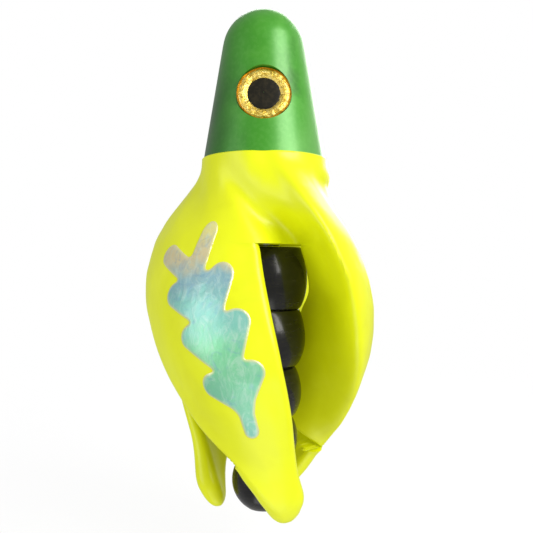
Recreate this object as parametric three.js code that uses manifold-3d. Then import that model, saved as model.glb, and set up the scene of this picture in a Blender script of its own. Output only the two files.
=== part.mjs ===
// Spinning soft lure: a green nose cone with two foil eyes and a yellow skirt of three twisted
// vanes turns on a steel tube, round a stack of glossy black beads. Millimetres, +Z up.
// The origin is the mouth of the line hole at the nose, and the lure hangs down from it.
// The front, with the sticker and the first eye, faces -Y.
import * as THREE from 'three';
import { mergeVertices } from 'three/addons/utils/BufferGeometryUtils.js';
import Module from 'manifold-3d';

const wasm = await Module();
wasm.setup();

// ---------- driving dimensions ----------
const GAP = 0.3; // clearance between neighbouring pieces
const ROUND_STEPS = 24; // segments round a turned piece

const TUBE = { radius: 1.5, bore: 0.8, flangeRadius: 1.6, flangeHeight: 0.8, bottom: -88.2 };
const HEAD = { domeRadius: 7.4, domeTop: 0.17, baseRadius: 10.8, base: -26.7, mouthRadius: 1.95 };
const SPIGOT = { radius: 7.6, barbRadius: 8.0, bottom: -36.5 };
const BUSH = { radius: 2.9, length: 5, frontTop: -1.9, flangeRadius: 3.8, flangeHeight: 0.8 };
const WASHER = { radius: 3.4, thickness: 0.6, top: -37.9 };
const STOP_RING = { radius: 2.9, length: 3.3 };
const EYE = { radius: 4.65, pupilRadius: 2.75, height: -16.5, socketDepth: 1.9, discThickness: 0.6 };
const BEADS = [ // from the top: upper end, lower end, belly radius, upper and lower end radius
  { top: -42.3, bottom: -53.4, belly: 7.75, upper: 6.6, lower: 6.3 },
  { top: -53.4, bottom: -63.7, belly: 7.4, upper: 6.3, lower: 5.4 },
  { top: -63.7, bottom: -72.7, belly: 6.7, upper: 5.4, lower: 4.9 },
  { top: -72.7, bottom: -80.1, belly: 6.0, upper: 4.9, lower: 4.5 },
];
const TAIL_BEAD = { top: -80.1, centre: -83.95, radius: 5.75, upper: 4.5, pocketRadius: 2.9 };
const FERRULE = { radius: 2.6, top: -86.6, bottom: -88.6 };

const COLLAR = { top: -27.0, bottom: -42.0, wall: 2.4, boreBottom: -34.5 };
const PETAL_TOP = -42.3;
const PETAL_BOTTOM = -89.1;
const PETAL_ROUND_OFF = 4.6; // height of a petal's rounded end
const PETALS = [ // turn round the axis at the top and at the tip, and where the flank has gone
  { name: 'a', turnTop: 0, turnTip: 0, hookEnd: -81 },
  { name: 'b', turnTop: 130, turnTip: 138, hookEnd: -81 },
  { name: 'c', turnTop: 240, turnTip: 240, hookEnd: -75 },
];
// A petal's section is an arc from its free edge to its rim, then a flank that hooks back in to
// the beads. Every list runs down the lure: [height, value]; angles turn from the front.
const RIM_ANGLE = [[-27, -118], [-31, -110], [-38, -102], [-42, -98], [-47, -92], [-52, -88],
  [-59, -79], [-62.5, -72], [-66, -64], [-70, -52], [-74, -40], [-80, -20], [-84.5, -3], [-89, 12]];
const FREE_ANGLE = [[-27, -55], [-31, -42], [-38, -16], [-42, -3], [-52, 3], [-62.5, 10], [-74, 21],
  [-80, 28.5], [-84.5, 38], [-89, 38]];
const INNER_ANGLE = [[-42, -82], [-45.8, -66], [-48.4, -56], [-50, -42], [-52, -22], [-54, -8],
  [-58, 0], [-64, 6], [-70, 10], [-77, 15], [-89, 20]];
const INNER_RADIUS = 7.7;
const RIM_RADIUS = [[-27, 11.1], [-28, 11.3], [-32.4, 14.8], [-36.7, 17.8], [-41, 20], [-47.5, 21.05],
  [-52, 20.8], [-58, 19.4], [-62.5, 18.1], [-70, 15.6], [-77, 13.4], [-80, 12.9], [-84.5, 12.3],
  [-89, 10.4]];
const MID_RADIUS = [[-27, 11.1], [-32.2, 11.5], [-36.7, 13.5], [-41, 15.7], [-47, 17.9], [-52, 19.1],
  [-58, 19.6], [-62.5, 19.1], [-70, 16.9], [-77, 13.7], [-80, 12.9], [-84.5, 12.3], [-89, 10.4]];
const FREE_RADIUS = [[-27, 11.1], [-33, 11.3], [-42, 13.6], [-47, 15.8], [-52, 17.8], [-58, 18.7],
  [-62.5, 18.5], [-70, 16.2], [-77, 13.5], [-80, 12.9], [-84.5, 12.3], [-89, 10.4]];
const VALLEY_RADIUS = [[-27, 11.0], [-33, 10.5], [-38, 10.6], [-42, 10.8]];
const WALL = [[-42, 2.4], [-60, 2.2], [-70, 2.5], [-76, 3.3], [-82, 4.3], [-89, 4.2]];
const HOOK_FADE = 9; // height over which the flank shrinks away
const STICKER = { // its middle line and the half width of each pair of lobes, in degrees
  top: -43.4, bottom: -75.5, lift: 0.4, thickness: 0.35,
  middle: [[-43, -38], [-54, -33], [-64, -20], [-71, -8], [-76, -2]],
  halfWidth: [[-43.4, 13], [-48, 22], [-52.5, 11], [-57, 18], [-61, 10], [-66, 16], [-69.5, 5],
    [-75.5, 3]],
};
const FRONT = -Math.PI / 2;

// ---------- helpers ----------
const rad = (degrees) => degrees * Math.PI / 180;

function along(list, z) { // value of a downward list at height z, eased between its points
  if (z >= list[0][0]) return list[0][1];
  for (let i = 1; i < list.length; i++) {
    const [z1, v1] = list[i];
    if (z >= z1) {
      const [z0, v0] = list[i - 1];
      return v0 + (v1 - v0) * (z0 - z) / (z0 - z1);
    }
  }
  return list[list.length - 1][1];
}

function smoothAlong(list, z, reach = 1.6) { // the same, with its corners rounded off
  let sum = 0;
  for (let k = -2; k <= 2; k++) sum += along(list, z + k * reach / 2);
  return sum / 5;
}

function polar(angle, radius, z) { // angle in degrees from the front, positive towards +X
  const a = FRONT + rad(angle);
  return new THREE.Vector3(radius * Math.cos(a), radius * Math.sin(a), z);
}

function solidFrom(positions, indices) {
  const geometry = new THREE.BufferGeometry();
  geometry.setAttribute('position', new THREE.Float32BufferAttribute(positions, 3));
  geometry.setIndex(indices);
  return geometry;
}

function ringSolid(rings, closedEnds) { // stacked rings of equal count, joined and capped
  const count = rings[0].length;
  const positions = rings.flat().flatMap((p) => [p.x, p.y, p.z]);
  const indices = [];
  for (let level = 0; level + 1 < rings.length; level++) {
    for (let i = 0; i < count; i++) {
      const a = level * count + i;
      const b = level * count + (i + 1) % count;
      indices.push(a, b, a + count, b, b + count, a + count);
    }
  }
  if (closedEnds) {
    const last = (rings.length - 1) * count;
    for (let i = 0; i + 1 < count / 2; i++) { // the two long sides of a wall section face each other
      const j = count - 1 - i;
      indices.push(i, j, i + 1, i + 1, j, j - 1);
      indices.push(last + i, last + i + 1, last + j, last + i + 1, last + j - 1, last + j);
    }
  }
  return solidFrom(positions, indices);
}

function facingOut(geometry) { // turn the faces over if the volume comes out negative
  const p = geometry.attributes.position;
  const index = geometry.index.array;
  const [a, b, c] = [new THREE.Vector3(), new THREE.Vector3(), new THREE.Vector3()];
  let volume = 0;
  for (let i = 0; i < index.length; i += 3) {
    a.fromBufferAttribute(p, index[i]);
    b.fromBufferAttribute(p, index[i + 1]);
    c.fromBufferAttribute(p, index[i + 2]);
    volume += a.dot(b.cross(c));
  }
  if (volume < 0) {
    for (let i = 0; i < index.length; i += 3) [index[i], index[i + 1]] = [index[i + 1], index[i]];
  }
  return geometry;
}

function toManifold(geometry) {
  const bare = geometry.clone();
  bare.deleteAttribute('normal');
  bare.deleteAttribute('uv');
  const merged = mergeVertices(bare, 1e-5);
  return new wasm.Manifold(new wasm.Mesh({
    numProp: 3,
    vertProperties: new Float32Array(merged.attributes.position.array),
    triVerts: new Uint32Array(merged.index.array),
  }));
}

function fromManifold(solid) {
  const mesh = solid.getMesh();
  return solidFrom(Array.from(mesh.vertProperties), Array.from(mesh.triVerts));
}

function turned(profile, steps = ROUND_STEPS) { // profile points are [radius, height]
  const points = profile.map(([r, z]) => new THREE.Vector2(r, z));
  const geometry = new THREE.LatheGeometry(points, steps);
  geometry.rotateX(Math.PI / 2); // the lathe turns about Y: stand it up on Z
  geometry.deleteAttribute('normal');
  geometry.deleteAttribute('uv');
  return facingOut(mergeVertices(geometry, 1e-5));
}

function arcPoints(cx, cy, radius, from, to, steps) {
  const points = [];
  for (let i = 0; i <= steps; i++) {
    const a = from + (to - from) * i / steps;
    points.push([cx + radius * Math.cos(a), cy + radius * Math.sin(a)]);
  }
  return points;
}

function closed(profile) {
  return [...profile, profile[0]];
}

function ringProfile(inner, outer, top, bottom) {
  return closed([[inner, bottom], [outer, bottom], [outer, top], [inner, top]]);
}

// ---------- materials ----------
const finish = (color, roughness, metalness) =>
  new THREE.MeshStandardMaterial({ color, roughness, metalness });
const STEEL = [0xc8cbd0, 0.25, 1];
const BRONZE = [0xb08a4a, 0.35, 1];
const BLACK = [0x0b0b0c, 0.12, 0];
const GREEN = [0x46a528, 0.35, 0];
const YELLOW = [0xd8e010, 0.35, 0];
const FOIL = [0xd7a53c, 0.3, 0.8];
const PUPIL = [0x1e190c, 0.4, 0];
const PEARL = [0x7fc8b0, 0.3, 0.2];

const lure = new THREE.Group();
function add(name, geometry, look, parent = lure) {
  const mesh = new THREE.Mesh(geometry, finish(...look));
  mesh.name = name;
  parent.add(mesh);
  return mesh;
}

// ---------- steel tube and what is fixed to it ----------
add('shaft_tube', turned(closed([
  [TUBE.bore, TUBE.bottom], [TUBE.radius, TUBE.bottom], [TUBE.radius, -TUBE.flangeHeight - 0.2],
  [TUBE.flangeRadius, -TUBE.flangeHeight], [TUBE.flangeRadius, 0], [TUBE.bore, 0],
])), STEEL);

const washerBottom = WASHER.top - WASHER.thickness;
const ringTop = washerBottom - GAP;
const ringBottom = ringTop - STOP_RING.length;
const bore = TUBE.radius + GAP;
add('thrust_washer', turned(ringProfile(bore, WASHER.radius, WASHER.top, washerBottom)), BRONZE);
add('stop_ring', turned(ringProfile(bore, STOP_RING.radius, ringTop, ringBottom)), STEEL);

// ---------- loose beads ----------
function beadProfile({ top, bottom, belly, upper, lower }) {
  const z1 = top - GAP / 2;
  const z0 = bottom + GAP / 2;
  const steps = 7;
  const side = [];
  for (let i = 0; i <= steps; i++) {
    const t = i / steps;
    const end = lower + (upper - lower) * t;
    const bulge = Math.sin(Math.PI * t) ** 0.62;
    side.push([end + (belly - end) * bulge, z0 + (z1 - z0) * t]);
  }
  return closed([[bore, z0], ...side, [bore, z1]]);
}
BEADS.forEach((bead, i) => add(`bead_${i + 1}`, turned(beadProfile(bead)), BLACK));

const { centre, radius: tailRadius, upper, pocketRadius, top: tailTop } = TAIL_BEAD;
const pocketDepthTop = FERRULE.top + GAP;
const neckAngle = Math.acos(upper / tailRadius);
const rimDrop = Math.acos(pocketRadius / tailRadius);
add('tail_bead', turned(closed([
  [bore, pocketDepthTop],
  [pocketRadius, pocketDepthTop],
  ...arcPoints(0, centre, tailRadius, -rimDrop, neckAngle, 8),
  [upper - 0.4, tailTop - GAP / 2],
  [bore, tailTop - GAP / 2],
])), BLACK);
add('tail_ferrule', turned(closed([
  [bore, FERRULE.top], [FERRULE.radius, FERRULE.top], [FERRULE.radius, FERRULE.bottom + 0.4],
  [FERRULE.radius - 0.4, FERRULE.bottom], [bore, FERRULE.bottom],
])), STEEL);

// ---------- head with its bushes and eyes ----------
const slope = Math.atan2(HEAD.baseRadius - HEAD.domeRadius, 20.2);
const domeCentre = HEAD.domeTop - HEAD.domeRadius;
const frontSeatBottom = BUSH.frontTop - BUSH.length - GAP;
const rearSeatTop = SPIGOT.bottom + BUSH.length - BUSH.flangeHeight + GAP;
const bushSeat = BUSH.radius + GAP;
const mouthAngle = Math.acos(HEAD.mouthRadius / HEAD.domeRadius);
const headBody = turned(closed([
  [TUBE.radius + 0.6, rearSeatTop],
  [bushSeat, rearSeatTop],
  [bushSeat, SPIGOT.bottom],
  [SPIGOT.radius - 0.6, SPIGOT.bottom],
  [SPIGOT.radius, SPIGOT.bottom + 0.6],
  [SPIGOT.radius, SPIGOT.bottom + 2.4],
  [SPIGOT.barbRadius, SPIGOT.bottom + 3.4],
  [SPIGOT.barbRadius, SPIGOT.bottom + 4.4],
  [SPIGOT.radius, SPIGOT.bottom + 4.6],
  [SPIGOT.radius, HEAD.base],
  [HEAD.baseRadius, HEAD.base],
  ...arcPoints(0, domeCentre, HEAD.domeRadius, slope, mouthAngle, 7),
  [HEAD.mouthRadius, BUSH.frontTop + GAP],
  [bushSeat, BUSH.frontTop + GAP],
  [bushSeat, frontSeatBottom],
  [TUBE.radius + 0.6, frontSeatBottom],
]), 36);

function onHeadSurface(side) { // frame at the eye: local +Z leaves the cone at right angles
  const drop = HEAD.base - EYE.height;
  const radius = HEAD.baseRadius + drop * Math.tan(slope);
  const holder = new THREE.Group();
  holder.position.set(0, -side * radius, EYE.height);
  holder.rotation.x = side * (Math.PI / 2 - slope);
  holder.updateMatrixWorld(true);
  return holder;
}

function disc(radius, low, high, steps = 24) {
  const geometry = new THREE.CylinderGeometry(radius, radius, high - low, steps);
  geometry.rotateX(Math.PI / 2);
  geometry.translate(0, 0, (high + low) / 2);
  return geometry;
}

let head = toManifold(headBody);
for (const side of [1, -1]) {
  const socket = disc(EYE.radius + GAP, -EYE.socketDepth, 6);
  head = head.subtract(toManifold(socket.applyMatrix4(onHeadSurface(side).matrixWorld)));
}
add('head', fromManifold(head), GREEN);

const frontBush = ringProfile(TUBE.radius + 0.15, BUSH.radius, BUSH.frontTop, BUSH.frontTop - BUSH.length);
add('front_bush', turned(frontBush), BRONZE);
const rearFlangeTop = SPIGOT.bottom - GAP;
const rearFlangeBottom = rearFlangeTop - BUSH.flangeHeight;
add('rear_bush', turned(closed([
  [TUBE.radius + 0.15, rearFlangeBottom], [BUSH.flangeRadius, rearFlangeBottom],
  [BUSH.flangeRadius, rearFlangeTop], [BUSH.radius, rearFlangeTop],
  [BUSH.radius, rearSeatTop - GAP], [TUBE.radius + 0.15, rearSeatTop - GAP],
])), BRONZE);

for (const [side, name] of [[1, 'front'], [-1, 'back']]) {
  const holder = onHeadSurface(side);
  lure.add(holder);
  const irisLow = GAP - EYE.socketDepth;
  const irisHigh = irisLow + EYE.discThickness;
  add(`eye_iris_${name}`, disc(EYE.radius, irisLow, irisHigh), FOIL, holder);
  add(`eye_pupil_${name}`, disc(EYE.pupilRadius, irisHigh + GAP, irisHigh + GAP + 0.4), PUPIL, holder);
}

// ---------- yellow collar: a sleeve that opens into three ridges and three valleys ----------
const turnAt = (petal, z) => {
  const t = THREE.MathUtils.clamp((PETAL_TOP - z) / (PETAL_TOP - PETAL_BOTTOM), 0, 1);
  return petal.turnTop + (petal.turnTip - petal.turnTop) * t;
};

function collarRadius(angle, z) {
  const rims = PETALS.map((petal) => smoothAlong(RIM_ANGLE, z) + petal.turnTop);
  const marks = [];
  for (let k = 0; k < 3; k++) {
    const start = rims[k];
    const span = (k < 2 ? rims[k + 1] : rims[0] + 360) - start;
    marks.push([start, smoothAlong(RIM_RADIUS, z)]);
    marks.push([start + 0.42 * span, smoothAlong(MID_RADIUS, z)]);
    marks.push([start + 0.68 * span, smoothAlong(FREE_RADIUS, z)]);
    marks.push([start + 0.82 * span, smoothAlong(VALLEY_RADIUS, z)]);
  }
  const wrapped = rims[0] + THREE.MathUtils.euclideanModulo(angle - rims[0], 360);
  const next = marks.findIndex(([at]) => at > wrapped);
  const right = next < 0 ? [rims[0] + 360, marks[0][1]] : marks[next];
  const left = next < 0 ? marks[marks.length - 1] : marks[next - 1];
  const t = (wrapped - left[0]) / (right[0] - left[0]);
  return left[1] + (right[1] - left[1]) * (1 - Math.cos(Math.PI * t)) / 2;
}

const collarSteps = 54;
const sleeveBore = SPIGOT.barbRadius + GAP;
function collarRing(z, offset, bore) {
  const ring = [];
  for (let i = 0; i < collarSteps; i++) {
    const angle = i * 360 / collarSteps;
    ring.push(polar(angle, bore ?? collarRadius(angle, z) - offset, z));
  }
  return ring;
}
const collarRings = [];
for (let i = 0; i <= 7; i++) {
  collarRings.push(collarRing(COLLAR.top + (COLLAR.bottom - COLLAR.top) * i / 7, 0));
}
for (let i = 3; i >= 0; i--) {
  collarRings.push(collarRing(COLLAR.boreBottom + (COLLAR.bottom - COLLAR.boreBottom) * i / 3,
    COLLAR.wall));
}
collarRings.splice(collarRings.length - 1, 1, collarRing(COLLAR.boreBottom, 0, sleeveBore));
collarRings.push(collarRing(COLLAR.top, 0, sleeveBore));
collarRings.push(collarRings[0]);
add('collar', facingOut(mergeVertices(ringSolid(collarRings, false), 1e-5)), YELLOW);

// ---------- petals ----------
function petalFace(petal, z) { // the outer face at height z, from the inner edge to the free edge
  const turn = turnAt(petal, z);
  const free = smoothAlong(FREE_ANGLE, z) + turn;
  const rim = smoothAlong(RIM_ANGLE, z) + turn;
  const [rimRadius, midRadius, freeRadius] = [RIM_RADIUS, MID_RADIUS, FREE_RADIUS]
    .map((list) => smoothAlong(list, z));
  const span = free - rim;
  const inner = polar(smoothAlong(INNER_ANGLE, z) + turn, INNER_RADIUS, z);
  const ridge = polar(rim, rimRadius, z);
  const hook = THREE.MathUtils.smoothstep(z, petal.hookEnd, petal.hookEnd + HOOK_FADE);
  return new THREE.CatmullRomCurve3([
    ridge.clone().lerp(inner, hook),
    polar(rim + 0.06 * span, rimRadius, z).lerp(inner.clone().lerp(ridge, 0.55), hook),
    polar(rim + 0.13 * span, rimRadius, z).lerp(ridge, hook),
    polar(rim + 0.25 * span, (midRadius + rimRadius) / 2, z),
    polar(rim + 0.5 * span, midRadius, z),
    polar(rim + 0.75 * span, (freeRadius + midRadius) / 2, z),
    polar(free, freeRadius, z),
  ], false, 'centripetal');
}

function outward(curve, u) { // level, and away from the petal's wall
  const tangent = curve.getTangentAt(u);
  return new THREE.Vector3(tangent.y, -tangent.x, 0).normalize();
}

function clearDepth(points, normals, i, wanted) { // stops short of the wall's far side
  let depth = wanted;
  points.forEach((other, j) => {
    const across = points[i].clone().sub(other);
    const facing = across.dot(normals[i]);
    if (j !== i && facing > 1e-6) depth = Math.min(depth, 0.9 * across.lengthSq() / (2 * facing));
  });
  return depth;
}

const FACE_STEPS = 15;
function petalSection(petal, z) { // the wall as one ring: out along its face, back along its inside
  const curve = petalFace(petal, z);
  const wall = along(WALL, z);
  const length = curve.getLength();
  const trim = Math.min(wall / 2, 0.3 * length) / length;
  const fractions = Array.from({ length: FACE_STEPS + 1 },
    (_, i) => trim + (1 - 2 * trim) * i / FACE_STEPS);
  const outside = fractions.map((u) => curve.getPointAt(u));
  const normals = fractions.map((u) => outward(curve, u));
  const inside = outside.map((point, i) => point.clone()
    .addScaledVector(normals[i], -clearDepth(outside, normals, i, wall)));
  const tip = (i, way) => { // the middle of a rounded edge
    const middle = outside[i].clone().lerp(inside[i], 0.5);
    const reach = way * outside[i].distanceTo(inside[i]) / 2;
    return middle.add(new THREE.Vector3(-normals[i].y, normals[i].x, 0).multiplyScalar(reach));
  };
  const ring = [tip(0, -1), ...outside, tip(FACE_STEPS, 1), ...inside.reverse()];
  const roundOff = (PETAL_BOTTOM + PETAL_ROUND_OFF - z) / PETAL_ROUND_OFF;
  if (roundOff <= 0) return ring;
  const centre = ring.reduce((sum, p) => sum.add(p), new THREE.Vector3()).divideScalar(ring.length);
  const shrink = (1 - Math.min(0.99, roundOff) ** 2.4) ** 0.45;
  return ring.map((p) => p.lerp(centre, 1 - shrink));
}

const PETAL_LEVELS = 17;
const ROUND_LEVELS = 4;
const roundTop = PETAL_BOTTOM + PETAL_ROUND_OFF;
for (const petal of PETALS) {
  const rings = [];
  for (let i = 0; i < PETAL_LEVELS; i++) {
    rings.push(petalSection(petal, PETAL_TOP + (roundTop - PETAL_TOP) * i / PETAL_LEVELS));
  }
  for (let i = 0; i <= ROUND_LEVELS; i++) {
    const fall = Math.sin(Math.PI / 2 * i / ROUND_LEVELS);
    rings.push(petalSection(petal, roundTop - PETAL_ROUND_OFF * fall));
  }
  add(`petal_${petal.name}`, facingOut(ringSolid(rings, true)), YELLOW);
}

// ---------- sticker of stacked lobes on the front petal ----------
function onFace(curve, angle) { // how far along the front petal's face that angle lies
  let [low, high] = [0.2, 1];
  for (let i = 0; i < 30; i++) {
    const u = (low + high) / 2;
    const point = curve.getPointAt(u);
    if (Math.atan2(point.x, -point.y) < rad(angle)) low = u;
    else high = u;
  }
  return low;
}

function stickerSection(z) {
  const curve = petalFace(PETALS[0], z);
  const middle = along(STICKER.middle, z);
  const halfWidth = along(STICKER.halfWidth, z);
  const low = [];
  const high = [];
  const steps = 6;
  for (let i = 0; i <= steps; i++) {
    const u = onFace(curve, middle - halfWidth + 2 * halfWidth * i / steps);
    const [point, normal] = [curve.getPointAt(u), outward(curve, u)];
    low.push(point.clone().addScaledVector(normal, STICKER.lift));
    high.push(point.clone().addScaledVector(normal, STICKER.lift + STICKER.thickness));
  }
  return [...low, ...high.reverse()];
}
const stickerLevels = 14;
const stickerRings = [];
for (let i = 0; i <= stickerLevels; i++) {
  const t = i / stickerLevels;
  stickerRings.push(stickerSection(STICKER.top + (STICKER.bottom - STICKER.top) * t));
}
add('sticker', facingOut(ringSolid(stickerRings, true)), PEARL);

export default lure;
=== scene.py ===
import math

import bpy
import bmesh
from mathutils import Matrix, Vector, noise
from mathutils.bvhtree import BVHTree
from mathutils.kdtree import KDTree


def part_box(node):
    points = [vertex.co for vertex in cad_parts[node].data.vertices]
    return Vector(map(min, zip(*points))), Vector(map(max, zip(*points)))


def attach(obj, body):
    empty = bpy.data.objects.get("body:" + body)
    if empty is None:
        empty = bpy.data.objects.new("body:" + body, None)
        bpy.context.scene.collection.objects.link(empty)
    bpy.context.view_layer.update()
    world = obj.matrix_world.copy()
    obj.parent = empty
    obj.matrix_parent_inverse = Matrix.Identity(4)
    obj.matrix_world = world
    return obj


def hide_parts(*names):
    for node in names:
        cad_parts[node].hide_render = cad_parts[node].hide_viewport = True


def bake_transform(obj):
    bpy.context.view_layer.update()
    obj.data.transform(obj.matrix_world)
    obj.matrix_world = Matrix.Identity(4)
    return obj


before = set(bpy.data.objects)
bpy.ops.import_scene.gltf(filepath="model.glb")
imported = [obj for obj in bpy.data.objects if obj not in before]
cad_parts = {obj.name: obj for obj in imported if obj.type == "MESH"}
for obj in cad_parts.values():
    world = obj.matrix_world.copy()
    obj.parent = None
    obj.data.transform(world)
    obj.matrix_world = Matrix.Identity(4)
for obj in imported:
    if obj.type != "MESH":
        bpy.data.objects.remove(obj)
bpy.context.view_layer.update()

# A spinning soft lure that hangs nose up from its line hole. The numbers below are millimetres
# and degrees in the row frame; add_mesh() turns them into metres.
MM = 0.001
HEAD_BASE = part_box("collar")[1].z / MM + 0.3  # the head ends where the collar's gap begins
SKIRT_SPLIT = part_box("collar")[0].z / MM      # below this height the skirt is three petals
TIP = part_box("petal_a")[0].z / MM


# ---------- camera, light and floor ----------
def make_stage():
    """Plain pale floor, soft lights and a camera level with the middle of the lure."""
    scene = bpy.context.scene
    scene.view_settings.view_transform = "Standard"
    scene.view_settings.look = "None"

    lens_distance, eye_level, aside = 126, -45.8, 0.45
    sensor, view_angle = 36, 41.7
    camera = bpy.data.objects.new("camera", bpy.data.cameras.new("camera"))
    camera.data.sensor_width = sensor
    camera.data.lens = sensor / 2 / math.tan(math.radians(view_angle) / 2)
    camera.data.clip_start = 0.005
    camera.location = Vector((aside, -lens_distance, eye_level)) * MM
    camera.rotation_euler = (math.pi / 2, 0, 0)
    scene.collection.objects.link(camera)
    scene.camera = camera

    world = bpy.data.worlds.new("studio")
    scene.world = world
    world.use_nodes = True
    nodes, links = world.node_tree.nodes, world.node_tree.links
    nodes.clear()
    output = nodes.new("ShaderNodeOutputWorld")
    seen, lit = nodes.new("ShaderNodeBackground"), nodes.new("ShaderNodeBackground")
    seen.inputs["Color"].default_value = (1, 1, 1, 1)
    seen.inputs["Strength"].default_value = 1.0
    lit.inputs["Color"].default_value = (1, 1, 1, 1)
    lit.inputs["Strength"].default_value = 0.40
    rays, mix = nodes.new("ShaderNodeLightPath"), nodes.new("ShaderNodeMixShader")
    links.new(rays.outputs["Is Camera Ray"], mix.inputs["Fac"])
    links.new(lit.outputs[0], mix.inputs[1])
    links.new(seen.outputs[0], mix.inputs[2])
    links.new(mix.outputs[0], output.inputs["Surface"])

    target = Vector((0, 0, -45 * MM))
    softboxes = [  # place in mm, width and height in mm, power in W, colour
        ("key", (190, -170, 90), 150, 220, 0.85, (1.0, 0.98, 0.94)),
        ("fill", (-240, -170, -20), 160, 220, 0.30, (0.95, 0.98, 1.0)),
        ("back", (60, 240, 80), 220, 220, 0.7, (1.0, 1.0, 1.0)),
        ("under", (0, -120, -260), 200, 200, 0.2, (1.0, 1.0, 1.0)),
    ]
    for name, place, width, height, power, colour in softboxes:
        light = bpy.data.lights.new(name, "AREA")
        light.shape = "RECTANGLE"
        light.size, light.size_y = width * MM, height * MM
        light.energy, light.color = power, colour
        box = bpy.data.objects.new(name, light)
        box.location = Vector(place) * MM
        box.rotation_euler = (target - box.location).to_track_quat("-Z", "Y").to_euler()
        scene.collection.objects.link(box)

    floor_mesh = bpy.data.meshes.new("floor")
    edge = 260 * MM
    corners = [(-edge, -edge), (edge, -edge), (edge, edge), (-edge, edge)]
    floor_mesh.from_pydata([(x, y, 0) for x, y in corners], [], [(0, 1, 2, 3)])
    floor = bpy.data.objects.new("floor", floor_mesh)
    floor.location.z = (TIP - 8) * MM
    scene.collection.objects.link(floor)
    floor.data.materials.append(floor_material(edge))


# ---------- node helpers ----------
class Shader:
    """One procedural material: a Principled shader and short calls that wire nodes into it."""

    def __init__(self, name):
        self.material = bpy.data.materials.new(name)
        self.material.use_nodes = True
        self.nodes = self.material.node_tree.nodes
        self.links = self.material.node_tree.links
        self.surface = self.nodes["Principled BSDF"]
        self.position = self.node("ShaderNodeTexCoord").outputs["Object"]

    def node(self, kind, **values):
        new = self.nodes.new(kind)
        for key, value in values.items():
            if hasattr(new, key):
                setattr(new, key, value)
            else:
                new.inputs[key.replace("_", " ")].default_value = value
        return new

    def link(self, source, socket):
        self.links.new(source, socket)

    def set(self, **values):
        for key, value in values.items():
            self.surface.inputs[key.replace("_", " ")].default_value = value

    def noise(self, scale, detail=3.0, rough=0.5, vector=None, distortion=0.0):
        new = self.node("ShaderNodeTexNoise", Scale=scale, Detail=detail, Roughness=rough,
                        Distortion=distortion)
        self.link(vector or self.position, new.inputs["Vector"])
        return new.outputs["Fac"]

    def stretch(self, scale):
        new = self.node("ShaderNodeMapping", Scale=scale)
        self.link(self.position, new.inputs["Vector"])
        return new.outputs["Vector"]

    def ramp(self, factor, stops):
        new = self.node("ShaderNodeValToRGB")
        band = new.color_ramp
        band.interpolation = "EASE"
        while len(band.elements) < len(stops):
            band.elements.new(0.5)
        for element, (at, colour) in zip(band.elements, stops):
            element.position = at
            element.color = (*colour, 1)
        self.link(factor, new.inputs["Fac"])
        return new.outputs["Color"]

    def mix(self, factor, a, b, blend="MIX"):
        new = self.nodes.new("ShaderNodeMix")
        new.data_type = "RGBA"
        new.blend_type = blend
        for value, socket in ((factor, new.inputs[0]), (a, new.inputs[6]), (b, new.inputs[7])):
            if hasattr(value, "is_linked"):
                self.link(value, socket)
            else:
                socket.default_value = value if isinstance(value, float) else (*value, 1)
        return new.outputs[2]

    def maths(self, operation, a, b=0.0):
        new = self.nodes.new("ShaderNodeMath")
        new.operation = operation
        for value, socket in ((a, new.inputs[0]), (b, new.inputs[1])):
            if hasattr(value, "is_linked"):
                self.link(value, socket)
            else:
                socket.default_value = value
        return new.outputs[0]

    def attribute(self, name):
        return self.node("ShaderNodeAttribute", attribute_name=name).outputs["Fac"]

    def axis(self, letter, vector=None):
        new = self.node("ShaderNodeSeparateXYZ")
        self.link(vector or self.position, new.inputs[0])
        return new.outputs[letter]

    def bump(self, height, strength, distance):
        new = self.node("ShaderNodeBump", Strength=strength, Distance=distance)
        self.link(height, new.inputs["Height"])
        self.link(new.outputs["Normal"], self.surface.inputs["Normal"])

    def colour(self, source):
        self.link(source, self.surface.inputs["Base Color"])

    def roughness(self, factor, low, high):
        new = self.node("ShaderNodeMapRange")
        new.inputs["To Min"].default_value = low
        new.inputs["To Max"].default_value = high
        self.link(factor, new.inputs["Value"])
        self.link(new.outputs["Result"], self.surface.inputs["Roughness"])


def floor_material(edge):
    """Pale grey that fades away towards the floor's rim, so that no horizon shows."""
    s = Shader("floor_pale")
    s.set(Roughness=0.8)
    s.colour(s.ramp(s.noise(6), [(0.3, (0.86, 0.86, 0.86)), (0.7, (0.9, 0.9, 0.9))]))
    away = s.node("ShaderNodeVectorMath", operation="LENGTH")
    s.link(s.position, away.inputs[0])
    fade = s.node("ShaderNodeMapRange")
    fade.interpolation_type = "SMOOTHSTEP"
    fade.inputs["From Min"].default_value = edge * 0.1
    fade.inputs["From Max"].default_value = edge * 0.9
    fade.inputs["To Min"].default_value = 0.12
    fade.inputs["To Max"].default_value = 0
    s.link(away.outputs["Value"], fade.inputs["Value"])
    s.link(fade.outputs["Result"], s.surface.inputs["Alpha"])
    return s.material


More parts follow.
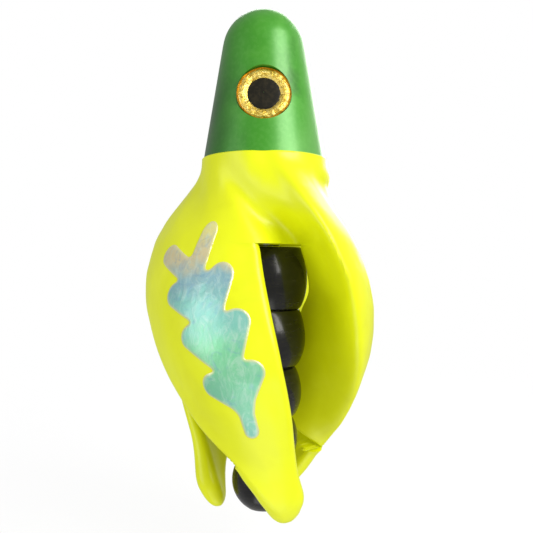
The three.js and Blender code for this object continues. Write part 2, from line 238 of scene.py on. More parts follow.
def vinyl_material():
    """Translucent yellow soft plastic: cloudy, satin, with a few trapped bubbles, and a faint painted
    glow that stands in for light passing through the vinyl.
    """
    s = Shader("yellow_vinyl")
    cloud = s.noise(70, detail=4, rough=0.55, distortion=0.4)
    base = s.ramp(cloud, [(0.25, (0.62, 0.66, 0.001)), (0.55, (0.70, 0.76, 0.003)),
                          (0.85, (0.78, 0.84, 0.02))])
    cells = s.node("ShaderNodeTexVoronoi", Scale=170.0, Randomness=1.0)
    s.link(s.position, cells.inputs["Vector"])
    rare = s.maths("GREATER_THAN", s.axis("X", cells.outputs["Color"]), 0.90)
    spot = s.maths("LESS_THAN", cells.outputs["Distance"], 0.12)
    bubble = s.maths("MULTIPLY", s.maths("MULTIPLY", rare, spot), 0.35)
    s.colour(s.mix(bubble, base, (0.92, 0.95, 0.45)))
    # The emission is a painted glow: it stands in for light shining through the translucent vinyl,
    # which gives off no light of its own.
    s.set(IOR=1.47, Specular_IOR_Level=0.45, Coat_Weight=0.12, Coat_Roughness=0.25,
          Emission_Color=(0.72, 0.74, 0.0, 1), Emission_Strength=0.16)
    s.roughness(s.noise(240, detail=2), 0.32, 0.48)
    waves = s.maths("ADD", s.noise(160, detail=2), s.maths("MULTIPLY", s.noise(900, detail=1), 0.12))
    s.bump(waves, 0.25, 0.0006)
    return s.material


def head_material():
    """Airbrushed green lacquer: darker clouds and a paler haze, under a satin coat, with painted
    shade darkening the -X side and a painted highlight lightening the +X side.
    """
    s = Shader("green_lacquer")
    haze = s.noise(75, detail=3, rough=0.5, distortion=0.6)
    tone = s.ramp(haze, [(0.28, (0.030, 0.19, 0.010)), (0.5, (0.050, 0.32, 0.012)),
                         (0.75, (0.10, 0.42, 0.035))])
    speck = s.ramp(s.noise(1400, detail=2), [(0.45, (0, 0, 0)), (0.62, (1, 1, 1))])
    lit = s.mix(s.maths("MULTIPLY", speck, 0.12), tone, (0.16, 0.5, 0.09))
    # Across X the colour gets painted shade towards the -X side and a painted highlight towards the
    # +X side, where the key light falls; the sway only wobbles the border.
    sway = s.maths("MULTIPLY", s.maths("SUBTRACT", s.noise(60, detail=2), 0.5), 0.010)
    across = s.node("ShaderNodeMapRange")
    across.inputs["From Min"].default_value = -0.010
    across.inputs["From Max"].default_value = 0.010
    s.link(s.maths("ADD", s.axis("X"), sway), across.inputs["Value"])
    painted_side_shade = s.ramp(across.outputs["Result"], [(0.02, (0.22, 0.30, 0.26)), (0.34, (0.80, 0.84, 0.80)),
                                              (0.80, (1.0, 1.0, 1.0)), (1.0, (1.0, 1.0, 1.0))])
    painted = s.mix(1.0, lit, painted_side_shade, "MULTIPLY")
    # The lightening towards the +X side is a painted highlight.
    pale = s.ramp(across.outputs["Result"], [(0.70, (0, 0, 0)), (0.93, (1, 1, 1))])
    s.colour(s.mix(s.maths("MULTIPLY", pale, 0.30), painted, (0.30, 0.62, 0.22)))
    s.set(Metallic=0.15, IOR=1.5, Coat_Weight=0.35, Coat_Roughness=0.28)
    s.roughness(s.noise(300, detail=2), 0.34, 0.46)
    s.bump(s.noise(220, detail=3), 0.12, 0.0004)
    return s.material


def foil_material():
    """Crinkled gold foil with an orange rim; rays run out from the pupil."""
    s = Shader("gold_foil")
    ray = s.attribute("ray")
    out = s.attribute("out")
    join = s.node("ShaderNodeCombineXYZ")
    s.link(s.maths("MULTIPLY", ray, 9.0), join.inputs["X"])
    s.link(s.maths("MULTIPLY", out, 1.6), join.inputs["Y"])
    crinkle = s.noise(3.2, detail=5, rough=0.65, vector=join.outputs[0], distortion=0.8)
    gold = s.ramp(crinkle, [(0.28, (0.42, 0.26, 0.015)), (0.45, (0.72, 0.48, 0.05)),
                            (0.60, (0.90, 0.70, 0.18)), (0.78, (0.97, 0.90, 0.52))])
    rim = s.ramp(out, [(0.72, (0, 0, 0)), (0.90, (1, 1, 1))])
    s.colour(s.mix(rim, gold, (0.62, 0.34, 0.01)))
    s.set(Metallic=0.75, IOR=1.5, Coat_Weight=0.5, Coat_Roughness=0.12)
    s.roughness(crinkle, 0.18, 0.38)
    s.bump(crinkle, 0.6, 0.0003)
    return s.material


def pupil_material():
    s = Shader("pupil_black")
    grain = s.noise(1800, detail=3)
    s.colour(s.ramp(grain, [(0.4, (0.008, 0.007, 0.003)), (0.7, (0.02, 0.016, 0.007))]))
    s.set(IOR=1.45, Specular_IOR_Level=0.25)
    s.roughness(grain, 0.45, 0.6)
    s.bump(grain, 0.1, 0.0001)
    return s.material


def bead_material():
    """Deep black glossy plastic with faint swirl marks."""
    s = Shader("black_gloss")
    swirl = s.noise(260, detail=4, rough=0.6, vector=s.stretch((1, 1, 5)), distortion=1.0)
    s.colour(s.ramp(swirl, [(0.35, (0.004, 0.004, 0.005)), (0.7, (0.014, 0.013, 0.013))]))
    s.set(IOR=1.5, Specular_IOR_Level=0.35, Coat_Weight=0.2, Coat_Roughness=0.12)
    s.roughness(swirl, 0.16, 0.34)
    s.bump(s.noise(420, detail=3), 0.25, 0.0003)
    return s.material


def metal_material(name, dark, pale, low, high):
    """Turned metal: fine rings round the axis and a little tarnish."""
    s = Shader(name)
    rings = s.noise(2600, detail=2, vector=s.stretch((0.05, 0.05, 1)))
    stain = s.noise(420, detail=4, rough=0.6)
    s.colour(s.ramp(stain, [(0.35, dark), (0.65, pale)]))
    s.set(Metallic=1.0)
    s.roughness(rings, low, high)
    s.bump(rings, 0.15, 0.0001)
    return s.material


def sticker_material():
    """Pearl foil: peach at the top, aqua and green below, mottled, with a pale cut edge."""
    s = Shader("pearl_foil")
    down = s.attribute("down")
    blotch = s.noise(150, detail=5, rough=0.6, distortion=1.2)
    wander = s.maths("ADD", down, s.maths("MULTIPLY", s.maths("SUBTRACT", blotch, 0.5), 0.22))
    hue = s.ramp(wander, [(0.06, (0.93, 0.88, 0.30)), (0.20, (0.72, 0.62, 0.34)),
                          (0.30, (0.26, 0.48, 0.52)), (0.45, (0.22, 0.58, 0.48)),
                          (0.60, (0.22, 0.66, 0.34)), (0.78, (0.20, 0.58, 0.36)),
                          (1.0, (0.13, 0.42, 0.34))])
    streak = s.noise(520, detail=6, rough=0.7, vector=s.stretch((1, 1, 0.45)), distortion=2.0)
    glint = s.ramp(streak, [(0.42, (0, 0, 0)), (0.72, (1, 1, 1))])
    shine = s.mix(s.maths("MULTIPLY", glint, 0.45), hue, (0.62, 0.80, 0.72))
    veil = s.ramp(s.noise(330, detail=4, distortion=1.5), [(0.30, (1, 1, 1)), (0.48, (0, 0, 0))])
    cool = s.mix(s.maths("MULTIPLY", veil, 0.35), shine, (0.16, 0.34, 0.52))
    s.colour(s.mix(s.attribute("rim"), cool, (0.80, 0.76, 0.36)))
    s.set(Metallic=0.25, IOR=1.5, Coat_Weight=0.6, Coat_Roughness=0.15)
    s.roughness(streak, 0.22, 0.42)
    s.bump(streak, 0.35, 0.0003)
    return s.material


# ---------- mesh helpers ----------
def add_mesh(name, points, faces, material, smooth_angle=40):
    """A mesh object from points in millimetres, smooth apart from edges sharper than smooth_angle."""
    mesh = bpy.data.meshes.new(name)
    mesh.from_pydata([Vector(p) * MM for p in points], [], faces)
    bm = bmesh.new()
    bm.from_mesh(mesh)
    bmesh.ops.recalc_face_normals(bm, faces=bm.faces)
    bm.to_mesh(mesh)
    bm.free()
    mesh.validate()
    piece = bpy.data.objects.new(name, mesh)
    bpy.context.scene.collection.objects.link(piece)
    mesh.materials.append(material)
    mesh.shade_smooth()
    mesh.set_sharp_from_angle(angle=math.radians(smooth_angle))
    return piece


def skin(rings, closed_rows=False, caps=True):
    """Points and faces of stacked rings of equal count.

    The last ring joins the first with closed_rows; otherwise caps close both ends.
    """
    count = len(rings[0])
    points = [p for ring in rings for p in ring]
    faces = []
    levels = len(rings) if closed_rows else len(rings) - 1
    for level in range(levels):
        low, high = level * count, (level + 1) % len(rings) * count
        for i in range(count):
            j = (i + 1) % count
            faces.append((low + i, low + j, high + j, high + i))
    if caps and not closed_rows:
        for ring, start in ((rings[0], 0), (rings[-1], (len(rings) - 1) * count)):
            middle = len(points)
            points.append(sum((Vector(p) for p in ring), Vector()) / count)
            faces += [(start + i, start + (i + 1) % count, middle) for i in range(count)]
    return points, faces


def turned(profile, steps=96):
    """A closed profile of (radius, height) pairs turned about the axis, none of them on it."""
    rings = []
    for i in range(steps):
        a = 2 * math.pi * i / steps
        rings.append([Vector((r * math.cos(a), r * math.sin(a), z)) for r, z in profile])
    return skin(rings, closed_rows=True)


def rounded(corners, radius=0.15, steps=4):
    """The same closed outline with every corner rounded off."""
    result = []
    count = len(corners)
    for i, corner in enumerate(corners):
        here = Vector(corner)
        before, after = Vector(corners[i - 1]) - here, Vector(corners[(i + 1) % count]) - here
        cut = min(radius, before.length * 0.45, after.length * 0.45)
        start, end = here + before.normalized() * cut, here + after.normalized() * cut
        for k in range(steps + 1):
            t = k / steps
            result.append(tuple(start.lerp(here, t).lerp(here.lerp(end, t), t)))
    return result


def arc(cx, cy, radius, start, end, steps):
    angles = [start + (end - start) * i / steps for i in range(steps + 1)]
    return [(cx + radius * math.cos(a), cy + radius * math.sin(a)) for a in angles]


def applied(piece, modifier_kind, **values):
    """Adds a modifier and bakes it into the mesh."""
    modifier = piece.modifiers.new(modifier_kind.lower(), modifier_kind)
    for key, value in values.items():
        setattr(modifier, key, value)
    graph = bpy.context.evaluated_depsgraph_get()
    result = bpy.data.meshes.new_from_object(piece.evaluated_get(graph))
    piece.modifiers.clear()
    piece.data = result


# ---------- the skirt's shape ----------
# Each list runs down the lure as (height, value). Angles turn from the front towards +X.
# A petal is an outer arc from its free edge to its rim, then a flank that turns in to the beads.
RIM_ANGLE = [(-27, -118), (-31, -110), (-38, -102), (-42, -98), (-47, -92), (-52, -88), (-59, -79),
             (-62.5, -72), (-66, -64), (-70, -52), (-74, -40), (-80, -20), (-84.5, -3), (-89, 12)]
FREE_ANGLE = [(-27, -55), (-31, -42), (-38, -16), (-42, -3), (-52, 3), (-62.5, 10), (-74, 21),
              (-80, 28.5), (-84.5, 38), (-89, 38)]
INNER_ANGLE = [(-27, -146), (-31, -142), (-34.5, -130), (-38, -116), (-40.5, -98), (-42.3, -82),
               (-45.8, -66), (-48.4, -56), (-50, -42), (-52, -22), (-54, -8), (-58, 0), (-64, 6),
               (-70, 10), (-77, 15), (-89, 20)]
HOOK_END = {"a": -81, "b": -83, "c": -75}  # where each petal's flank has shrunk away
HOOK_FADE = 9
RIM_RADIUS = [(-27, 11.1), (-28, 11.3), (-32.4, 14.8), (-36.7, 17.8), (-41, 20), (-47.5, 21.05),
              (-52, 20.8), (-58, 19.4), (-62.5, 18.1), (-70, 15.6), (-77, 13.4), (-80, 12.9),
              (-84.5, 12.3), (-89, 10.4)]
MID_RADIUS = [(-27, 11.1), (-32.2, 11.5), (-36.7, 13.5), (-41, 15.7), (-47, 17.9), (-52, 19.1),
              (-58, 19.6), (-62.5, 19.1), (-70, 16.9), (-77, 13.7), (-80, 12.9), (-84.5, 12.3),
              (-89, 10.4)]
FREE_RADIUS = [(-27, 11.1), (-33, 11.3), (-42, 13.6), (-47, 15.8), (-52, 17.8), (-58, 18.7),
               (-62.5, 18.5), (-70, 16.2), (-77, 13.5), (-80, 12.9), (-84.5, 12.3), (-89, 10.4)]
VALLEY_RADIUS = [(-27, 11.1), (-29, 11.0), (-33, 10.5), (-38, 10.6), (-42, 10.8)]
INNER_RADIUS = [(-27, 11.1), (-31, 11.2), (-36, 11.4), (-40.5, 9.6), (-42.3, 7.7), (-66, 7.6),
                (-89, 7.4)]
WALL = [(-42, 2.4), (-60, 2.2), (-72, 2.4), (-78, 3.0), (-84, 4.2), (-89, 4.2)]
TURNS = {"a": (0, 0), "b": (130, 138), "c": (240, 240)}  # at the split and at the tip
ROUND_OFF = 4.6  # height of a petal's rounded end
FACE_STEPS = 84  # steps across a petal's outer face
SPAN_STEPS = 24  # steps along the curve between two marks
SEAM = 0.01  # down to this far below the split, the petals still share their valleys


def along(pairs, z, reach=2.4):
    """The list's value at height z, with its corners eased over the reach."""
    total = 0
    for k in range(-2, 3):
        at = z + k * reach / 4
        value = pairs[0][1]
        for (z0, v0), (z1, v1) in zip(pairs, pairs[1:]):
            if at <= z0:
                t = min(1, (z0 - at) / (z0 - z1))
                value = v0 + (v1 - v0) * t
        total += value
    return total / 5


def polar(angle, radius, z):
    """The point at that angle in degrees from the front, positive towards +X."""
    a = math.radians(angle)
    return Vector((radius * math.sin(a), -radius * math.cos(a), z))


def turn_of(petal, z):
    top, tip = TURNS[petal]
    t = min(1, max(0, (SKIRT_SPLIT - z) / (SKIRT_SPLIT - TIP)))
    return top + (tip - top) * t


def petal_marks(petal, z):
    """Seven points on a petal's outer face at height z: inner edge, flank, rim, arc, free edge."""
    share = min(1, max(0, (z - HOOK_END[petal]) / HOOK_FADE))
    hook = share * share * (3 - 2 * share)
    turn = turn_of(petal, z)
    rim, free, inner = (along(a, z) + turn for a in (RIM_ANGLE, FREE_ANGLE, INNER_ANGLE))
    rim_r, mid_r, free_r, inner_r = (
        along(r, z) for r in (RIM_RADIUS, MID_RADIUS, FREE_RADIUS, INNER_RADIUS))
    span = free - rim
    ridge, edge = polar(rim, rim_r, z), polar(inner, inner_r, z)
    return [ridge.lerp(edge, hook),
            polar(rim + 0.06 * span, rim_r, z).lerp(edge.lerp(ridge, 0.55), hook),
            polar(rim + 0.13 * span, rim_r, z).lerp(ridge, hook),
            polar(rim + 0.25 * span, (rim_r + mid_r) / 2, z), polar(rim + 0.5 * span, mid_r, z),
            polar(rim + 0.75 * span, (mid_r + free_r) / 2, z), polar(free, free_r, z)]


def spline(before, a, b, after, t):
    """A point between a and b on a centripetal Catmull-Rom curve."""
    knots = [0.0]
    for p, q in ((before, a), (a, b), (b, after)):
        knots.append(knots[-1] + max(1e-4, (q - p).length) ** 0.5)
    k0, k1, k2, k3 = knots
    at = k1 + (k2 - k1) * t

    def between(p, q, low, high):
        return p + (q - p) * ((at - low) / (high - low))

    a1, a2, a3 = between(before, a, k0, k1), between(a, b, k1, k2), between(b, after, k2, k3)
    return between(between(a1, a2, k0, k2), between(a2, a3, k1, k3), k1, k2)


def skirt_loop(z):
    """The marks of all three petals at height z, with a valley between each pair."""
    names = list(TURNS)
    marks = [petal_marks(name, z) for name in names]
    loop = []
    for k, own in enumerate(marks):
        following = marks[(k + 1) % len(marks)]
        middle = own[-1].lerp(following[0], 0.5)
        flat = Vector((middle.x, middle.y, 0)).normalized() * along(VALLEY_RADIUS, z)
        loop.append((own, Vector((flat.x, flat.y, z)) if z > SKIRT_SPLIT - SEAM else middle))
    return loop


def run_through(points):
    """Close steps along the curve through points[1:-1], and how far along each one is."""
    dense = []
    for i in range(1, len(points) - 2):
        for k in range(SPAN_STEPS):
            dense.append(spline(*points[i - 1:i + 3], k / SPAN_STEPS))
    dense.append(points[-2].copy())
    lengths = [0.0]
    for p, q in zip(dense, dense[1:]):
        lengths.append(lengths[-1] + (q - p).length)
    return dense, lengths


def at_length(dense, lengths, wanted):
    wanted = min(max(wanted, 0), lengths[-1])
    low, high = 0, len(lengths) - 1
    while high - low > 1:
        middle = (low + high) // 2
        if lengths[middle] <= wanted:
            low = middle
        else:
            high = middle
    part = (wanted - lengths[low]) / max(1e-9, lengths[high] - lengths[low])
    return dense[low].lerp(dense[high], part)


def even(dense, lengths, start, end, steps):
    return [at_length(dense, lengths, start + (end - start) * i / steps) for i in range(steps + 1)]


def wobble(p, size=0.10):
    """The small unevenness of a soft casting."""
    return size * noise.noise(Vector(p) * 0.16) + 0.35 * size * noise.noise(Vector(p) * 0.5)


def clear_depth(sides, i, wanted):
    """How deep the wall can be at point i before it meets the wall's far side."""
    here, _, normal = sides[i]
    for j, (other, _, _) in enumerate(sides):
        across = here - other
        facing = across.dot(normal)
        if j != i and facing > 1e-6:
            wanted = min(wanted, 0.9 * across.length_squared / (2 * facing))
    return wanted


def petal_ring(petal, z, edge_steps=8):
    """One closed section of a petal: outer face, rounded free edge, inner face, inner edge."""
    index = list(TURNS).index(petal)
    loop = skirt_loop(z)
    own, valley = loop[index]
    before = loop[index - 1][1] if z > SKIRT_SPLIT - SEAM else own[0] * 2 - own[1]
    after = valley if z > SKIRT_SPLIT - SEAM else own[-1] * 2 - own[-2]
    dense, lengths = run_through([before, *own, after])
    wall = along(WALL, z)
    half = wall / 2
    total = lengths[-1]
    trim = min(half, total * 0.3)
    outer = even(dense, lengths, trim, total - trim, FACE_STEPS)
    sides = []
    for i, p in enumerate(outer):
        q0, q1 = outer[max(0, i - 1)], outer[min(FACE_STEPS, i + 1)]
        tangent = (q1 - q0).normalized()
        sides.append((p, tangent, Vector((tangent.y, -tangent.x, 0))))
    depths = [clear_depth(sides, i, wall) for i in range(len(sides))]
    ring = [p + n * wobble(p) for p, t, n in sides]
    end, tangent, normal = sides[-1]
    for k in range(1, edge_steps):
        a = math.pi * k / edge_steps
        ring.append(end + (normal * (math.cos(a) - 1) + tangent * math.sin(a)) * depths[-1] / 2)
    ring += [p - n * depth for (p, t, n), depth in zip(reversed(sides), reversed(depths))]
    start, tangent, normal = sides[0]
    for k in range(1, edge_steps):
        a = math.pi * k / edge_steps
        ring.append(start - (normal * (math.cos(a) + 1) + tangent * math.sin(a)) * depths[0] / 2)
    if z < TIP + ROUND_OFF:
        q = min(0.995, (TIP + ROUND_OFF - z) / ROUND_OFF)
        shrink = (1 - q ** 2.4) ** 0.45
        centre = sum(ring, Vector()) / len(ring)
        ring = [centre + (p - centre) * shrink for p in ring]
    return ring


def make_petal(petal, material):
    """One vane below the split, closed at its top and rounded off at its tip."""
    levels, round_levels = 84, 14
    heights = [SKIRT_SPLIT + (TIP + ROUND_OFF - SKIRT_SPLIT) * i / levels for i in range(levels)]
    heights += [TIP + ROUND_OFF * (1 - math.sin(math.pi / 2 * i / round_levels))
                for i in range(round_levels + 1)]
    points, faces = skin([petal_ring(petal, z) for z in heights])
    piece = add_mesh(f"petal_{petal}_skin", points, faces, material, 45)
    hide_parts(f"petal_{petal}")
    return piece


def bulge(angle, z):
    """The collar's swollen lip beside the nearest ridge, with a crease below it."""
    side = math.exp(-(((angle - 88) / 24) ** 2))
    fold = math.exp(-(((z + 31.6 + (angle - 70) * 0.045) / 0.7) ** 2))
    swell = math.exp(-(((z + 29.8) / 1.5) ** 2))
    return side * (0.62 * swell - 0.15 * fold)


def collar_ring(z, inset=0.0):
    """The skirt's closed outline at height z, drawn in by the inset."""
    ring = []
    loop = skirt_loop(z)
    for k, (own, valley) in enumerate(loop):
        before, (following, _) = loop[k - 1][1], loop[(k + 1) % len(loop)]
        dense, lengths = run_through([before, *own, valley])
        ring += even(dense, lengths, 0, lengths[-1], FACE_STEPS)[:-1]
        for a, b, c, d in ((own[-2], own[-1], valley, following[0]),
                           (own[-1], valley, following[0], following[1])):
            ring += [spline(a, b, c, d, t / 8) for t in range(8)]
    result = []
    for i, p in enumerate(ring):
        tangent = (ring[(i + 1) % len(ring)] - ring[i - 1]).normalized()
        normal = Vector((tangent.y, -tangent.x, 0))
        swell = bulge(math.degrees(math.atan2(p.x, -p.y)), z)
        result.append(p + normal * (wobble(p) + swell - inset))
    return result


def make_collar(material):
    """The skirt above the split: its skin, a rolled lip under the head and the bore for the head."""
    top, levels, inner_levels = HEAD_BASE - 0.02, 44, 8
    lip_rise, lip_share = 0.12, 0.985
    bore, bore_bottom, wall, narrowest = 8.15, -34.5, 2.4, 5
    rings = [collar_ring(top + (SKIRT_SPLIT - top) * i / levels) for i in range(levels + 1)]
    lip = [p.copy() for p in rings[0]]
    for p in lip:
        p.z, p.x, p.y = top + lip_rise, p.x * lip_share, p.y * lip_share

    def bored(z):
        return [Vector((p.x, p.y, 0)).normalized() * bore + Vector((0, 0, z)) for p in rings[0]]

    rise = bore_bottom - 1 - SKIRT_SPLIT
    inside = [collar_ring(SKIRT_SPLIT + rise * i / inner_levels, wall)
              for i in range(inner_levels + 1)]
    for ring in inside:
        for i, p in enumerate(ring):
            level = Vector((p.x, p.y, 0))
            if level.length < narrowest:
                ring[i] = level.normalized() * narrowest + Vector((0, 0, p.z))
    rings = [lip, *rings, *inside, bored(bore_bottom), bored(top + lip_rise)]
    points, faces = skin(rings, closed_rows=True)
    piece = add_mesh("collar_skin", points, faces, material, 45)
    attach(piece, "rotor")
    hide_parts("collar")


# ---------- head and eyes ----------
EYE_HEIGHT, EYE_RADIUS, PUPIL_RADIUS, SOCKET_DEPTH = -16.5, 4.68, 2.82, 1.35
DOME_RADIUS, BASE_RADIUS, DOME_TOP, CONE_RUN = 7.4, 10.8, 0.17, 20.2
SLOPE = math.atan2(BASE_RADIUS - DOME_RADIUS, CONE_RUN)
MOUTH_RADIUS = 1.95


def eye_frame(side):
    """Matrix of the eye on that side: its local +Z leaves the cone at right angles."""
    radius = BASE_RADIUS + (HEAD_BASE - EYE_HEIGHT) * math.tan(SLOPE)
    return (Matrix.Translation((0, -side * radius, EYE_HEIGHT))
            @ Matrix.Rotation(side * (math.pi / 2 - SLOPE), 4, "X"))


def make_head(material):
    """The hollow nose cone, with a socket cut for each eye."""
    dome_centre = DOME_TOP - DOME_RADIUS
    mouth = math.acos(MOUTH_RADIUS / DOME_RADIUS)
    base = HEAD_BASE + 0.03
    cone_start = dome_centre + DOME_RADIUS * math.sin(SLOPE)
    cone = [(BASE_RADIUS + (base - z) * math.tan(SLOPE), z)
            for z in (base + (cone_start - base) * i / 60 for i in range(60))]
    profile = [(3.2, -36.5), (7.3, -36.5), (7.6, -36.2), (7.6, base - 0.3), (BASE_RADIUS - 0.3, base),
               *cone, *arc(0, dome_centre, DOME_RADIUS, SLOPE, mouth - 0.03, 36),
               (MOUTH_RADIUS, -0.35), (MOUTH_RADIUS, -1.6), (3.2, -1.6), (3.2, -2.4), (2.1, -2.4),
               (2.1, -31), (3.2, -31)]
    points, faces = turned(profile, 160)
    piece = add_mesh("head_shell", points, faces, material, 35)
    cutters = []
    for side in (1, -1):
        profile = rounded([(0.01, -SOCKET_DEPTH), (EYE_RADIUS + 0.05, -SOCKET_DEPTH),
                           (EYE_RADIUS + 0.25, 5), (0.01, 5)], 0.1)
        spun, faces = turned(profile, 128)
        place = eye_frame(side)
        cutter = add_mesh("cutter", [place @ p for p in spun], faces, material)
        cutters.append(cutter)
        applied(piece, "BOOLEAN", operation="DIFFERENCE", object=cutter, solver="EXACT")
    for cutter in cutters:
        bpy.data.objects.remove(cutter)
    piece.data.shade_smooth()
    piece.data.set_sharp_from_angle(angle=math.radians(35))
    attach(piece, "rotor")
    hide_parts("head")


def make_eye(name, side, foil, black):
    """A crinkled foil ring in the head's socket and the pupil in its middle."""
    place = eye_frame(side)
    floor, steps, rows = -SOCKET_DEPTH + 0.02, 180, 20

    def crinkled(a, r, height):
        ray = noise.noise(Vector((math.cos(a) * 5.5, math.sin(a) * 5.5, r * 0.5 + side * 3)))
        fine = noise.noise(Vector((math.cos(a) * 14, math.sin(a) * 14, r * 0.9 + side * 7)))
        return height + 0.10 * ray + 0.05 * fine

    rings, rays, outs = [], [], []
    section = [(PUPIL_RADIUS - 0.25, 0.35), (PUPIL_RADIUS, 0.42)]
    for i in range(1, rows):
        t = i / rows
        section.append((PUPIL_RADIUS + (EYE_RADIUS - 0.15 - PUPIL_RADIUS) * t,
                        0.42 + 0.34 * math.sin(math.pi * min(1, t * 1.05)) ** 0.8))
    section += [(EYE_RADIUS - 0.12, 0.62), (EYE_RADIUS - 0.02, 0.45), (EYE_RADIUS, 0.2),
                (EYE_RADIUS - 0.02, 0), (PUPIL_RADIUS - 0.25, 0)]
    top = len(section) - 3
    for i in range(steps):
        a = 2 * math.pi * i / steps
        ring = []
        for k, (r, height) in enumerate(section):
            lift = crinkled(a, r, height) if 1 <= k < top - 1 else height
            ring.append(place @ Vector((r * math.cos(a), r * math.sin(a), floor + lift)))
            rays.append(i / steps)
            outs.append((r - PUPIL_RADIUS) / (EYE_RADIUS - PUPIL_RADIUS))
        rings.append(ring)
    points, faces = skin(rings, closed_rows=True)
    iris = add_mesh(f"iris_{name}", points, faces, foil, 60)
    for label, values in (("ray", rays), ("out", outs)):
        attribute = iris.data.attributes.new(label, "FLOAT", "POINT")
        attribute.data.foreach_set("value", values)
    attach(iris, "rotor")
    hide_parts(f"eye_iris_{name}")

    dome = [(0.02, 0.62), *[(PUPIL_RADIUS * k / 12, 0.62 - 0.16 * (k / 12) ** 2.4)
                            for k in range(1, 12)],
            (PUPIL_RADIUS - 0.05, 0.44), (PUPIL_RADIUS + 0.03, 0.38), (PUPIL_RADIUS + 0.03, 0.30),
            (PUPIL_RADIUS - 0.3, 0.05), (0.02, 0.05)]
    points, faces = turned(dome, 96)
    points = [place @ (p + Vector((0, 0, floor))) for p in points]
    pupil = add_mesh(f"pupil_{name}", points, faces, black, 50)
    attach(pupil, "rotor")
    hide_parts(f"eye_pupil_{name}")


# ---------- beads and turned metal ----------
BEADS = [  # name, upper and lower end, belly radius, upper and lower end radius
    ("bead_1", -42.35, -53.4, 7.75, 6.5, 6.2), ("bead_2", -53.4, -63.7, 7.4, 6.2, 5.4),
    ("bead_3", -63.7, -72.7, 6.7, 5.4, 4.9), ("bead_4", -72.7, -80.1, 6.0, 4.9, 4.5),
]


def make_beads(material):
    """Four barrel beads and the round tail bead, all bored for the tube."""
    for name, top, bottom, belly, upper, lower in BEADS:
        z1, z0 = top - 0.04, bottom + 0.04
        side = []
        for i in range(41):
            t = (1 - math.cos(math.pi * i / 40)) / 2
            end = lower + (upper - lower) * t
            side.append((end + (belly - end) * math.sin(math.pi * t) ** 0.62, z0 + (z1 - z0) * t))
        profile = [(1.8, z0 + 0.2), (2.1, z0), (lower - 0.35, z0), *side, (upper - 0.35, z1),
                   (2.1, z1), (1.8, z1 - 0.2)]
        points, faces = turned(profile, 128)
        piece = add_mesh(f"{name}_gloss", points, faces, material, 50)
        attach(piece, name)
        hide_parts(name)
    centre, radius, pocket = -83.95, 5.75, 2.9
    start, end = -math.acos(pocket / radius), math.acos(4.5 / radius)
    lip = [(pocket - 0.05, centre + radius * math.sin(start) + 0.25),
           (pocket + 0.1, centre + radius * math.sin(start) + 0.03)]
    profile = [(1.8, -86.2), (pocket - 0.05, -86.2), *lip,
               *arc(0, centre, radius, start + 0.04, end, 48), (4.1, -80.18), (1.8, -80.18)]
    points, faces = turned(profile, 128)
    piece = add_mesh("tail_bead_gloss", points, faces, material, 50)
    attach(piece, "shaft")
    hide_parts("tail_bead")


def make_metal(steel, bronze):
    """The tube and the small turned parts on it: node, body, finish, slot, outline."""
    parts = [
        ("shaft_tube", "shaft", steel, "steel",
         [(0.8, -88.2), (1.5, -88.2), (1.5, -1.0), (1.6, -0.8), (1.6, 0), (0.8, 0)]),
        ("thrust_washer", "shaft", bronze, "bronze",
         [(1.8, -38.5), (3.4, -38.5), (3.4, -37.9), (1.8, -37.9)]),
        ("stop_ring", "shaft", steel, "steel",
         [(1.8, -42.1), (2.9, -42.1), (2.9, -38.8), (1.8, -38.8)]),
        ("tail_ferrule", "shaft", steel, "steel",
         [(1.8, -88.6), (2.2, -88.6), (2.6, -88.2), (2.6, -86.6), (1.8, -86.6)]),
        ("front_bush", "rotor", bronze, "bronze",
         [(1.65, -6.9), (2.9, -6.9), (2.9, -1.9), (1.65, -1.9)]),
        ("rear_bush", "rotor", bronze, "bronze",
         [(1.65, -37.6), (3.8, -37.6), (3.8, -36.8), (2.9, -36.8), (2.9, -32.3), (1.65, -32.3)]),
    ]
    for node, body, material, slot, outline in parts:
        points, faces = turned(rounded(outline, 0.14), 96)
        piece = add_mesh(f"{node}_turned", points, faces, material, 30)
        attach(piece, body)
        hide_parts(node)


# ---------- sticker ----------
# Four stacked pairs of lobes on a stem. Places are (angle from the front, height).
LOBES = [  # left lobe, right lobe, the neck below them, radius of the lobes and the neck in mm
    ((-62.0, -43.9), (-37.8, -40.1), (-40.0, -47.4), 1.75, 1.75),
    ((-48.0, -50.4), (-23.6, -47.2), (-25.8, -54.4), 2.15, 1.7),
    ((-35.2, -57.0), (-13.2, -54.4), (-15.8, -61.6), 2.15, 1.6),
    ((-24.2, -64.4), (-6.0, -62.2), (-9.8, -67.6), 2.1, 1.3),
]
STEM_END = (-6.7, -71.7)
STICKER_ROLL = 17.5  # mm, the radius that turns the sticker's angles into widths
STICKER_CELL = 0.14  # mm, the grid that the sticker is cut from
STICKER_TOP, STICKER_BOTTOM = -36.5, -75.0
STICKER_ARMS_FROM = SKIRT_SPLIT - 0.2  # above this height the sticker lies on the collar


def flat(place):
    return Vector((math.radians(place[0]) * STICKER_ROLL, place[1]))


def bar(p, a, b, ra, rb):
    """Distance from p to a rounded bar that tapers from radius ra at a to rb at b."""
    ab = b - a
    t = min(1, max(0, (p - a).dot(ab) / ab.length_squared))
    return (p - (a + ab * t)).length - (ra + (rb - ra) * t)


def merge(a, b, soft):
    h = max(0, soft - abs(a - b)) / soft
    return min(a, b) - h * h * soft / 4


def sticker_distance(p):
    """Distance outside the sticker's outline; negative inside."""
    result = 1e3
    for k, (left, right, neck, lobe, waist) in enumerate(LOBES):
        left, right, neck = flat(left), flat(right), flat(neck)
        pair = merge(bar(p, left, neck, lobe, waist), bar(p, right, neck, lobe, waist), 1.2)
        if k + 1 < len(LOBES):
            below = (flat(LOBES[k + 1][0]) + flat(LOBES[k + 1][1]) + neck) / 3
            pair = merge(pair, bar(p, neck, below, waist, 2.7), 0.6)
        else:
            pair = merge(pair, bar(p, neck, flat(STEM_END), waist, 1.3), 0.6)
        result = merge(result, pair, 1.0)
    return result


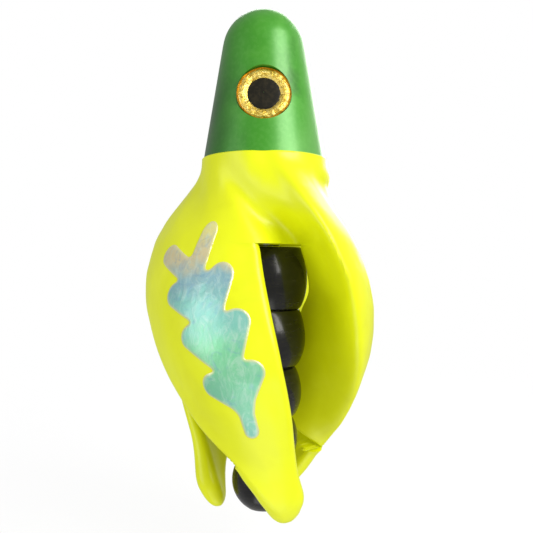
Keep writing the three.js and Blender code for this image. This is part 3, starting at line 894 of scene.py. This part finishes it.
def make_sticker(petal, material):
    """A thin foil on the front petal, cut on a grid and slid on to its true outline."""
    surface = BVHTree.FromPolygons([v.co / MM for v in petal.data.vertices],
                                   [tuple(f.vertices) for f in petal.data.polygons])
    above = BVHTree.FromPolygons(*skin([collar_ring(z) for z in
                                        (SKIRT_SPLIT - 0.3 + 0.6 * i for i in range(12))],
                                       caps=False))
    lo_x, hi_x = flat((-82, 0)).x, flat((8, 0)).x
    lo_z, hi_z = STICKER_BOTTOM, STICKER_TOP
    across, down = int((hi_x - lo_x) / STICKER_CELL), int((hi_z - lo_z) / STICKER_CELL)
    spots, values = {}, {}
    for i in range(across + 1):
        for j in range(down + 1):
            p = Vector((lo_x + i * STICKER_CELL, lo_z + j * STICKER_CELL))
            values[i, j] = sticker_distance(p)
            spots[i, j] = p
    cells = [(i, j) for i in range(across) for j in range(down)
             if max(values[i + a, j + b] for a in (0, 1) for b in (0, 1)) < 0.35 * STICKER_CELL]
    kept, index, points, flats = set(cells), {}, [], []
    top_faces, border = [], []

    def number(key):
        if key not in index:
            p = spots[key]
            touching = sum((key[0] - a, key[1] - b) in kept for a in (0, 1) for b in (0, 1))
            if touching < 4:  # slide the outline's points on to the true outline
                for _ in range(3):
                    d, e = sticker_distance(p), 0.02
                    slope = Vector((sticker_distance(p + Vector((e, 0))) - d,
                                    sticker_distance(p + Vector((0, e))) - d)) / e
                    p = p - slope * d / max(0.2, slope.length_squared)
            index[key] = len(flats)
            flats.append(p)
        return index[key]

    for i, j in cells:
        corners = [number(key) for key in ((i, j), (i + 1, j), (i + 1, j + 1), (i, j + 1))]
        top_faces.append(tuple(corners))
        for (di, dj), a, b in (((0, -1), 0, 1), ((1, 0), 1, 2), ((0, 1), 2, 3), ((-1, 0), 3, 0)):
            if (i + di, j + dj) not in kept:
                border.append((corners[a], corners[b]))

    def place(p, lift):
        a = p.x / STICKER_ROLL
        way = Vector((math.sin(a), -math.cos(a), 0))
        tree = above if p.y > STICKER_ARMS_FROM else surface
        spot, normal, _, _ = tree.ray_cast(way * 40 + Vector((0, 0, p.y)), -way)
        return spot + (normal if normal.dot(way) > 0 else -normal) * lift

    edges = sorted({k for pair in border for k in pair})
    outline = KDTree(len(edges))
    for k in edges:
        outline.insert(flats[k].to_3d(), k)
    outline.balance()
    rims, downs = [], []
    for p in flats:
        inside = outline.find(p.to_3d())[2]
        points.append(place(p, 0.03 + 0.12 * min(1, inside / 0.3) ** 0.5))
        rims.append(max(0, 1 - inside / 0.5))
        downs.append((hi_z - p.y) / (hi_z - lo_z))
    count = len(flats)
    points += [place(p, -0.12) for p in flats]
    faces = top_faces + [tuple(count + k for k in reversed(f)) for f in top_faces]
    faces += [(b, a, count + a, count + b) for a, b in border]
    piece = add_mesh("sticker_foil", points, faces, material, 60)
    for label, numbers in (("rim", rims * 2), ("down", downs * 2)):
        attribute = piece.data.attributes.new(label, "FLOAT", "POINT")
        attribute.data.foreach_set("value", numbers)
    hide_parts("sticker")
    return piece


# ---------- build ----------
make_stage()
yellow = vinyl_material()
make_collar(yellow)
petals = {name: make_petal(name, yellow) for name in TURNS}
sticker = make_sticker(petals["a"], sticker_material())
make_head(head_material())
foil, pupil = foil_material(), pupil_material()
make_eye("front", 1, foil, pupil)
make_eye("back", -1, foil, pupil)
make_beads(bead_material())
make_metal(metal_material("steel", (0.55, 0.56, 0.58), (0.72, 0.73, 0.75), 0.18, 0.34),
           metal_material("bronze", (0.42, 0.28, 0.11), (0.62, 0.44, 0.19), 0.25, 0.42))

# ---------- bake the petals' and the sticker's placement into their meshes ---
for name, piece in petals.items():
    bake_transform(piece)
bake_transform(sticker)
